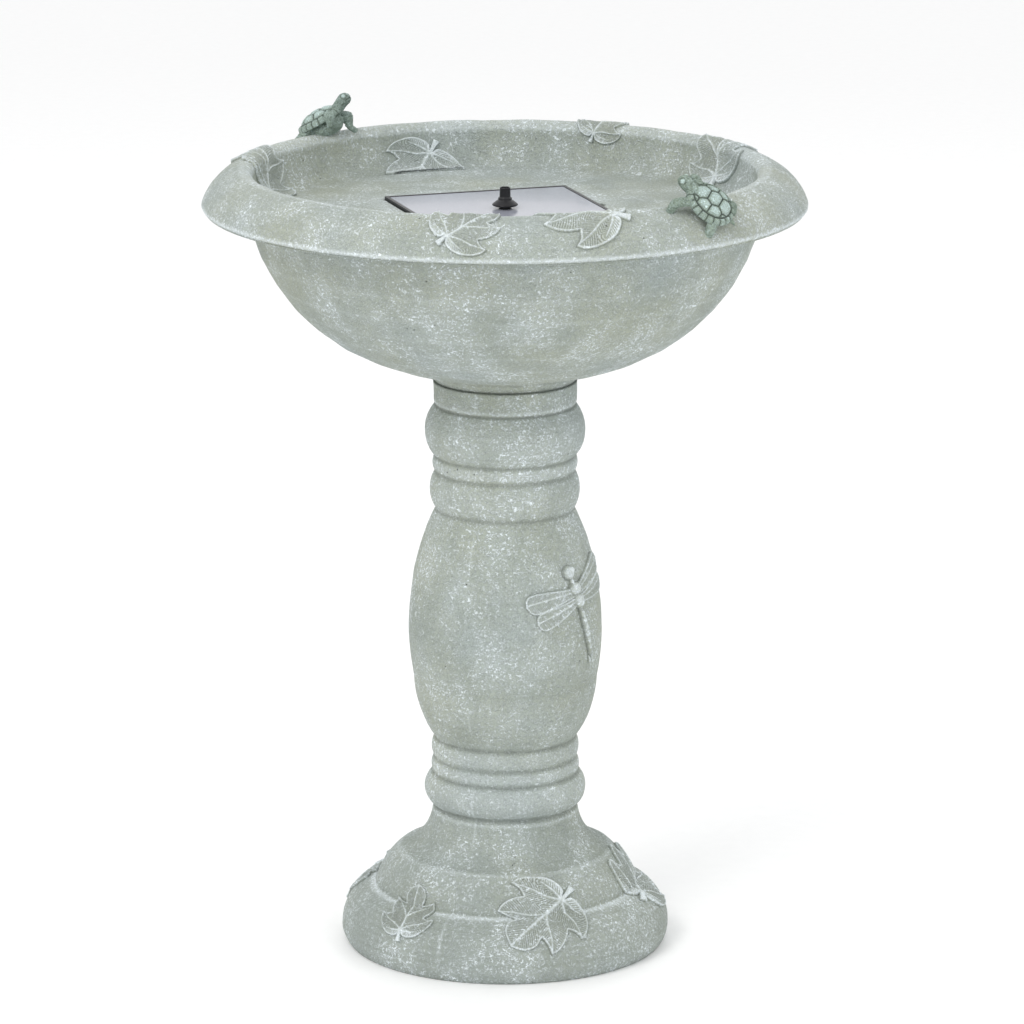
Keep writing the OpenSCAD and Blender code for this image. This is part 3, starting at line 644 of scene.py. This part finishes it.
def dragonfly(surface, azimuth, z, roll):
    """The dragonfly on the barrel, head up: domed body, four veined wings. z is its middle's height in mm."""
    barrel_radius = 83 * MM
    step = 0.45 * MM
    x, y = np.meshgrid(np.arange(-61 * MM, 61 * MM, step), np.arange(-68 * MM, 34 * MM, step))
    height = np.full(x.shape, -1.0)
    # Tone -1 round the figure is painted shade
    relief = np.full(x.shape, -1.0)
    keep = np.zeros(x.shape, bool)

    def lift(h, tone, mask):
        nonlocal height, relief, keep
        over = h > height
        relief = np.where(over, tone, relief)
        height = np.maximum(height, h)
        keep = keep | mask

    for side in (-1, 1):
        for root, tip, wide, bow in (((1.5, -3.0), (47.0, -6.0), 8.4, -0.5),
                                     ((1.5, 5.0), (51.0, 11.5), 9.0, 1.0)):
            t = np.linspace(0, 1, 30)
            cx = root[0] + (tip[0] - root[0]) * t
            cy = root[1] + (tip[1] - root[1]) * t + bow * np.sin(math.pi * t)
            end = np.clip((1 - t) / 0.17, 0, 1)
            w = wide * np.minimum(1, 0.42 + 0.80 * t) * np.sqrt(end * (2 - end))
            upper, lower = np.column_stack([cx, cy + w]), np.column_stack([cx, cy - w])
            outline = np.concatenate([upper, lower[::-1]]) * (side * MM, MM)
            inner = depth_inside(x, y, outline)
            middle = np.column_stack([cx, cy + 0.15 * w]) * (side * MM, MM)
            off, along = to_line(x, y, middle)
            rim = np.exp(-((inner - 0.7 * MM) / (0.8 * MM)) ** 2)
            rib = np.exp(-(off / (0.7 * MM)) ** 2)
            fine = np.cos((along - 1.3 * off) / (2.3 * MM) * 2 * math.pi) * smooth(0.4 * MM, 1.6 * MM, off)
            wall = smooth(-1.0 * MM, 0.4 * MM, inner)
            h = (1.9 + 0.6 * rim + 0.6 * rib + 0.22 * fine + 1.0) * wall - 1.0
            # A band of painted shadow just outside each wing's edge
            tone = (0.9 * rim + 0.8 * rib + 0.5 * fine - 0.05) * wall - 1.3 * smooth(0.1 * MM, -0.6 * MM, inner)
            lift(h, tone, inner > -1.9 * MM)

    def dome(cx, cy, rx, ry, top, ring=0.0):
        q = np.hypot((x / MM - cx) / rx, (y / MM - cy) / ry)
        bulge = top * np.sqrt(np.clip(1 - q ** 2, 0, 1))
        h = np.where(q < 1, bulge, -1.0 * smooth(1.0, 1.25, q))
        # The dome's middle takes the paint; painted shade round its edge and in the tail's rings
        tone = 0.75 * smooth(0.95, 0.45, q) - 0.9 * smooth(0.8, 1.0, q)
        if ring:
            groove = 0.5 + 0.5 * np.cos(y / MM / ring * 2 * math.pi)
            h = h - 0.35 * groove * (q < 1)
            tone = tone - 0.5 * groove
        lift(h, tone, q < 1.35)

    # Head, eyes, neck, thorax in two parts, ringed tail and the claspers at its end
    dome(0, 23.5, 6.6, 6.6, 5.6)
    dome(-3.2, 25.0, 3.0, 3.2, 6.2)
    dome(3.2, 25.0, 3.0, 3.2, 6.2)
    dome(0, 15.0, 2.2, 3.4, 3.6)
    dome(0, 8.4, 6.4, 6.2, 7.2)
    dome(0, -3.0, 6.0, 7.6, 7.2)
    dome(0, -31, 3.2, 29, 4.8, ring=6.4)
    dome(-1.8, -60.5, 1.3, 4.2, 2.8)
    dome(1.8, -60.5, 1.3, 4.2, 2.8)
    start = surface.length_near(barrel_radius, z * MM)
    laid("dragonfly_relief", "dragonfly", "pedestal", surface, (azimuth, start), roll,
         x, y, height * MM, np.clip(relief, -1, 1.2), keep)


# ---------------------------------------------------------------- turtles

def facing(azimuth, place, ahead, up):
    """The frame of a turtle in millimetres from the axis, before it is turned by azimuth: +Y ahead, +Z near up."""
    y = Vector(ahead).normalized()
    x = y.cross(Vector(up)).normalized()
    turned = Matrix((x, y, x.cross(y))).transposed().to_4x4()
    return Matrix.Rotation(math.radians(azimuth), 4, "Z") @ Matrix.Translation(Vector(place) * MM) @ turned


def carapace():
    """The domed shell: large six-sided plates down the back and the sides, and a margin of square ones."""
    rings, spokes = 90, 240
    a, b, top = 18.6, 22.8, 10.6
    margin, margin_plates = 0.79, 20
    u = np.linspace(0, 1, rings)[:, None]
    t = np.linspace(0, 2 * math.pi, spokes, endpoint=False)[None, :]
    x, y = a * u * np.cos(t) * (1 - 0.06 * np.sin(t)), b * u * np.sin(t)
    seeds = [(0, k * 11.5 - 0.5) for k in (-2, -1, 0, 1, 2)]
    seeds += [(side * 12.6, k * 11.5 - 0.5) for side in (-1, 1) for k in (-1.5, -0.5, 0.5, 1.5)]
    distance = np.sort(np.stack([np.hypot(x - sx, y - sy) for sx, sy in seeds]), axis=0)
    border = (distance[1] - distance[0]) * 0.5
    edge_ring = np.abs(u - margin) * a
    sector = t / (2 * math.pi) * margin_plates + 0.5
    spoke = np.abs(sector - np.round(sector)) * (2 * math.pi / margin_plates) * a * 1.1 * u
    plate = np.where(u < margin, np.minimum(border, edge_ring), np.minimum(spoke, edge_ring))
    groove = np.exp(-(plate / 0.50) ** 2)
    growth = np.cos(plate / 1.1 * 2 * math.pi) * smooth(0.6, 1.1, plate) * smooth(4.2, 2.6, plate)
    boss = smooth(0.2, 3.0, plate)
    flare = 1.6 * smooth(0.80, 0.97, u) * (1 - smooth(0.97, 1.0, u))
    h = top * np.clip(1 - u ** 2.4, 0, 1) ** 0.75 + flare - 1.1 * groove + 0.10 * growth + 0.7 * boss * (1 - u ** 4)
    inner = u < margin
    # Painted shade in the grooves between the plates
    tone = -1.3 * groove + 0.22 * growth + np.where(inner, 0.75, 0.25) * boss
    upper = np.stack([x, y, 4.2 + h], -1)
    # The shell's lower side gets tone -0.5: painted shade under it
    lower = np.stack([x * 0.97, y * 0.97, 3.1 - 1.6 * (1 - u ** 2) + 0 * t], -1)[::-1]
    return np.concatenate([upper, lower]), np.concatenate([tone, -0.5 + 0 * x])


def blob(work, points, radii):
    """Adds a limb to a bmesh: balls along a smooth line through points, close enough to read as one."""
    segments = 20
    line = curve(points, 6)
    share = np.linspace(0, 1, len(line))
    sizes = [np.interp(share, np.linspace(0, 1, len(radii)), [r[i] for r in radii]) for i in range(3)]
    for p, sx, sy, sz in zip(line, *sizes):
        where = Matrix.Translation(p) @ Matrix.Diagonal((sx, sy, sz, 1))
        bmesh.ops.create_uvsphere(work, u_segments=segments, v_segments=segments // 2, radius=1, matrix=where)


def turtle(name, node, place, head, belly, legs):
    """A turtle that faces +Y in its own millimetres: plated shell over skin remeshed from balls. belly is its
    middle and half thickness, and legs are (points, radii at the body, the knee and the foot)."""
    hx, hy, hz = head
    work = bmesh.new()
    blob(work, [(0, 8, 5), (0, 16, 6), (hx, hy - 4, hz - 1.5), head],
         [(9, 9, 4.5), (6.4, 6.2, 5.6), (5.4, 5.6, 5.4), (5.9, 7.0, 5.7)])
    middle, thickness = belly
    blob(work, [(0, -9, middle), (0, 0, middle), (0, 9, middle)],
         [(12, 9, thickness), (14.5, 11, thickness), (12, 9, thickness)])
    blob(work, [(0, -18, 4), (0, -24, 2.6), (0, -27.5, 1.2)], [(2.8, 2.8, 2.4), (1.9, 1.9, 1.7), (0.9, 0.9, 0.8)])
    for points, radii in legs:
        blob(work, points, [(r, r, 0.85 * r) for r in radii])
    mesh = bpy.data.meshes.new(name + "_skin")
    work.to_mesh(mesh)
    work.free()
    skin = bpy.data.objects.new(name + "_skin", mesh)
    bpy.context.scene.collection.objects.link(skin)
    remesh = skin.modifiers.new("remesh", "REMESH")
    remesh.mode = "VOXEL"
    remesh.voxel_size = 0.55
    soft = skin.modifiers.new("soft", "SMOOTH")
    soft.factor, soft.iterations = 0.5, 8
    made = skin.evaluated_get(bpy.context.evaluated_depsgraph_get()).to_mesh()
    skin_points = np.array([v.co[:] for v in made.vertices])
    normals = np.array([v.normal[:] for v in made.vertices])
    skin_faces = [tuple(p.vertices) for p in made.polygons]
    bpy.data.objects.remove(skin)

    scales = np.array([noise.noise(Vector(p) * 0.75) for p in skin_points])
    folds = np.array([noise.noise(Vector((p[0] * 0.35, p[1] * 0.35, p[2] * 0.9))) for p in skin_points])
    # Sunk scales and folds get painted shade, raised ones take the paint
    tone = np.clip(scales * 0.5 + folds * 0.5, -0.5, 0.6)
    skin_points = skin_points + normals * (scales * 0.28 + folds * 0.35)[:, None]
    off = skin_points - np.array(head)
    mouth = np.exp(-((off[:, 2] + 1.4 - 0.12 * off[:, 1]) / 0.5) ** 2) * smooth(1.5, 3.5, off[:, 1])
    skin_points = skin_points - normals * (0.6 * mouth)[:, None]
    # Painted shade in the mouth's line
    tone = tone - 1.1 * mouth
    for side in (-1, 1):
        eye = np.linalg.norm(off - np.array((side * 3.7, 2.6, 3.0)), axis=1)
        skin_points = skin_points + normals * (1.1 * np.exp(-(eye / 1.6) ** 2))[:, None]
        # Painted shade in the crease round each eye
        tone = tone + 1.7 * np.exp(-(eye / 1.5) ** 2) - 0.7 * np.exp(-((eye - 2.6) / 0.6) ** 2)

    shell_points, shell_tones = carapace()
    rows, spokes = shell_points.shape[:2]
    count = rows * spokes
    points = np.concatenate([shell_points.reshape(-1, 3), skin_points]) * MM
    faces = [*map(tuple, ring_faces(rows, spokes)[:(rows - 1) * spokes]),
             *[tuple(i + count for i in face) for face in skin_faces]]
    tones = np.clip(np.concatenate([shell_tones.ravel(), tone]), -1, 1.2)
    obj = mesh_object(name, [place @ Vector(p) for p in points], faces, "bowl", TURTLE,
                      {"relief": tones})
    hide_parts(node)


# ---------------------------------------------------------------- the scene

STONE = stone_material("cast_stone", (0.315, 0.355, 0.315), (0.385, 0.425, 0.375), (0.80, 0.87, 0.90), 1.0)
TURTLE = stone_material("turtle_stone", (0.20, 0.26, 0.215), (0.29, 0.37, 0.32), (0.68, 0.84, 0.83), 0.85, 0.95, 1.6)

# The pedestal: its outside up to the joint under the bowl, then its hollow inside
joint_z = 508.5
pedestal_path = seam_walk("pedestal", (139.3, 0), (140.5, 1.5))
turn_in = int(np.argmax(pedestal_path[:, 1] > (joint_z - 0.1) * MM))
# Marks: the ledge's ridge brushed pale, white paint that also stands in for its highlight, and painted shade in the
# joint under the bowl
column = casting("pedestal_casting", "pedestal", "pedestal", soften(pedestal_path[:turn_in + 1], 0.8 * MM),
                 resample(pedestal_path[turn_in + 1:], 9 * MM), 3, mould_seam=math.radians(-24),
                 marks=[(52.3, 1.5, 0.75), (joint_z, 1.0, -1.2)])

# The bowl: its outside up to where the basin's lip covers it, then its inside
covered_radius = 222.9 * MM
bowl_path = seam_walk("bowl_shell", (61.5, joint_z), (62.1, 510.5))
brim = int(np.argmax(bowl_path[:, 0] > covered_radius))
# The joint with the pedestal gets a ring of painted shade
casting("bowl_casting", "bowl_shell", "bowl", soften(bowl_path[:brim + 1], 0.8 * MM), bowl_path[brim + 1:], 11,
        marks=[(joint_z, 1.2, -1.2)])

# The basin: lip and dish, the panel's square recess with its two finger notches, and the pump's round well
dish_radius, lip_under_radius = 196.1 * MM, 203.1 * MM
basin_path = seam_walk("basin", (261.2, 663), (262.9, 665.4), stop=lambda p: p[0] < dish_radius)
lip_path = seam_walk("basin", (261.2, 663), (253.2, 663), stop=lambda p: p[0] < lip_under_radius)
dish_z, tray_z, tray_under_z = 658 * MM, 642.4 * MM, 634.4 * MM
notch_z = dish_z - 7 * MM
well_radius, well_outer_radius = 62 * MM, 70 * MM
well_z, well_under_z = 579.4 * MM, 571.4 * MM
recess_half, notch_radius, wall = 84.2 * MM, 7.5 * MM, 8 * MM
notched, square = notched_radii(recess_half, notch_radius), square_radii(recess_half)
even = np.ones(SEGMENTS)
loops = [outline_loop(radii, z) for radii, z in (
    (notched + 30 * MM, dish_z), (notched + 1.2 * MM, dish_z), (notched + 0.4 * MM, dish_z - 0.4 * MM),
    (notched, dish_z - 1.2 * MM), (notched, notch_z), (square, notch_z), (square, tray_z),
    (well_radius * even, tray_z), (well_radius * even, well_z), (0 * even, well_z),
    (0 * even, well_under_z), (well_outer_radius * even, well_under_z),
    (well_outer_radius * even, tray_under_z), (square + wall, tray_under_z), (square + wall, 650 * MM))]
# The recess's edge takes a little paint; its walls and floors and the pump's well get painted shade
lip = casting("basin_casting", "basin", "bowl", soften(basin_path, 0.7 * MM), lip_path[::-1], 23, loops=loops,
              loop_tones=[0, 0.3, 0, *[-1.0] * (len(loops) - 3)])

# Leaves: azimuth, how far in from the foot's radius or out from the lip's, height, roll and width
foot_radius, lip_radius, lip_top = 145, 230, 697
for i, (azimuth, inward, z, roll, width) in enumerate([
        (16, 26, 51.5, 131, 84), (-42, 20, 49, 4, 58), (84, 30, 58, -55, 82),
        (-109, 14, 44, -97, 66), (150, 24, 50, 150, 78), (-156, 24, 50, -40, 64)]):
    start = column.length_near((foot_radius - inward) * MM, z * MM)
    leaf(f"base_leaf_{i + 1}", "pedestal", column, azimuth, start, roll, width, (-1) ** i * 0.03)
for i, (azimuth, outward, under, roll, width) in enumerate([
        (-7.7, 11.6, 5.2, -44, 64), (16.5, -6, 1, 63, 90), (120.5, -11, 6, -162, 81),
        (157, -1, 0, 156, 52), (-158, -30, 36, -31, 78), (-106, -12, 12, 141, 83)]):
    start = lip.length_near((lip_radius + outward) * MM, (lip_top - under) * MM)
    leaf(f"rim_leaf_{i + 1}", "bowl", lip, azimuth, start, roll, width, (-1) ** i * 0.03)
dragonfly(column, 49, 326, 16)

turtle("turtle_right_figure", "turtle_right",
       facing(43, (0, -247.8, 696.2), (-0.57, 0.58, 0.587), (-0.11, -0.76, 0.64)), (0, 27.5, 8.5), (4.2, 4.0),
       [([(-11, 16, 4), (-18, 24, 0), (-23, 24, -8)], (4.4, 4.4, 3.4)),
        ([(11, 15, 4), (18, 21, 0), (22, 22, -9)], (4.4, 4.0, 3.2)),
        ([(-10, -9, 4), (-17, -12, 0), (-21, -14, -9)], (4.6, 4.6, 3.8)),
        ([(11, -13, 4), (17, -18, 0), (20, -22, -9)], (4.6, 4.4, 3.6))])
turtle("turtle_left_figure", "turtle_left",
       facing(-135, (-2, -231, 703.4), (-0.44, 0.75, 0.50), (0.28, -0.34, 0.90)), (0, 28.5, 11.5), (-2.2, 8.8),
       [([(-8, 12, 1), (-9, 20, -4), (-8, 18, -12), (-8, 20.5, -18)], (4.6, 5.4, 3.2, 2.6)),
        ([(10, 12, 6), (15, 14, 5), (17, 12, -1)], (5.4, 5.6, 3.4)),
        ([(10, -14, 2), (14, -20, 1), (15, -23, 1)], (5.0, 4.2, 3.2)),
        ([(-10, -14, 2), (-14, -20, 1), (-15, -23, 1)], (5.0, 4.2, 3.2))])

PLASTIC = plastic_material("black_plastic", (0.012, 0.012, 0.014), 0.34)
STEEL = metal_material("steel", (0.55, 0.55, 0.56), 0.32)
WHITE = plastic_material("white_plastic", (0.70, 0.70, 0.68), 0.4)
finishes = {
    "panel_tray": PLASTIC, "junction_box": PLASTIC, "cable_gland": PLASTIC, "pump_housing": PLASTIC,
    "motor_cap": PLASTIC, "volute_cover": PLASTIC, "strainer_cage": PLASTIC, "riser_tube": PLASTIC,
    "nozzle_insert": PLASTIC, "backing_board": board_material("board"), "solar_cells": cell_material("solar_cell"),
    "cover_glass": glass_material("panel_glass"), "flange_screws": STEEL, "cover_screws": STEEL,
    "impeller_shaft": STEEL, "motor_stator": winding_material("copper"),
    "shaft_bushes": plastic_material("bush_ceramic", (0.78, 0.76, 0.70), 0.3),
    "seal_ring": plastic_material("rubber_seal", (0.02, 0.02, 0.02), 0.6),
    "filter_foam": foam_material("foam", (0.05, 0.05, 0.055)), "impeller": WHITE,
    "rotor_magnet": metal_material("magnet", (0.20, 0.20, 0.21), 0.45)}
for name, material in finishes.items():
    piece = nodes[name]
    piece.data.materials.clear()
    piece.data.materials.append(material)
# Small radii on the moulded and cut edges that show
for name in ("panel_tray", "cover_glass", "riser_tube"):
    round_off = nodes[name].modifiers.new("edges", "BEVEL")
    round_off.width = 0.35 * MM
    round_off.segments = 2
    round_off.angle_limit = math.radians(40)

nozzle_path = seam_walk("nozzle_head", (5.98, 661.3), (10.9, 662.6))
outline = resample(soften(np.concatenate([nozzle_path, nozzle_path[:1]]), 0.22 * MM), 0.5 * MM)[:-1]
nozzle = mesh_object("nozzle_turned", spin(outline).reshape(-1, 3), ring_faces(len(outline), SEGMENTS),
                     "nozzle", PLASTIC)
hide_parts("nozzle_head")

studio()
